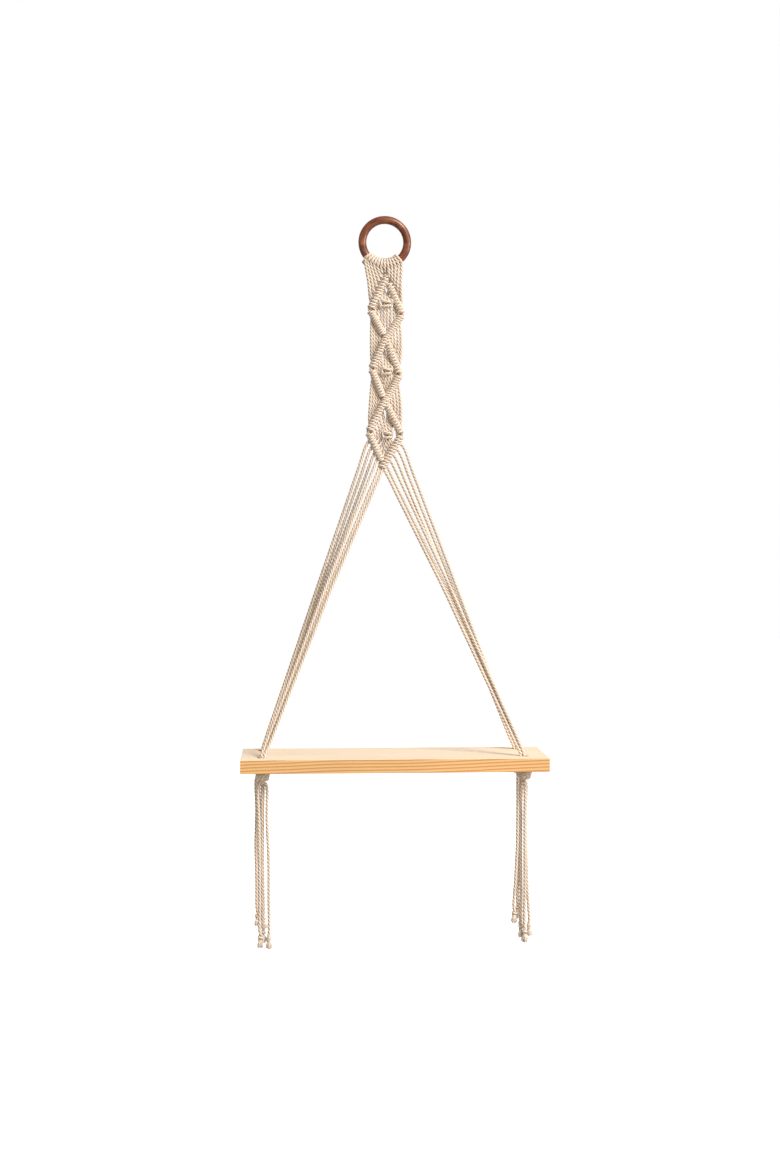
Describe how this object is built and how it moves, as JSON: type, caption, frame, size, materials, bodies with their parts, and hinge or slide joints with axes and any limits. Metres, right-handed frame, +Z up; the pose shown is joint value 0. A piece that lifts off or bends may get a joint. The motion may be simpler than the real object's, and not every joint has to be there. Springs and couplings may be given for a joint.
{
  "type": "macrame wall shelf with wooden ring and board",
  "caption": "Hanging shelf: a wooden ring, a band of knotted cotton cord that parts into legs, and a pine board held by stopper knots with loose tails below.",
  "frame": {"origin": "top of the ring's hole, where a wall hook carries it", "axes": "+Z up, the front faces -Y, +X to the right seen from the front"},
  "size_m": [0.4, 0.12, 0.958],
  "materials": {
    "ring_wood": "dark red-brown wood, polished",
    "board_wood": "planed pine with straight grain, unvarnished",
    "cotton_cord": "three-ply twisted cotton cord, natural cream"
  },
  "bodies": {
    "root": {"ring": "ring_wood", "board": "board_wood", "macrame_band": "cotton_cord", "leg_left_front": "cotton_cord", "leg_left_rear": "cotton_cord", "leg_right_front": "cotton_cord", "leg_right_rear": "cotton_cord", "tails_left_front": "cotton_cord", "tails_left_rear": "cotton_cord", "tails_right_front": "cotton_cord", "tails_right_rear": "cotton_cord"}
  },
  "joints": []
}
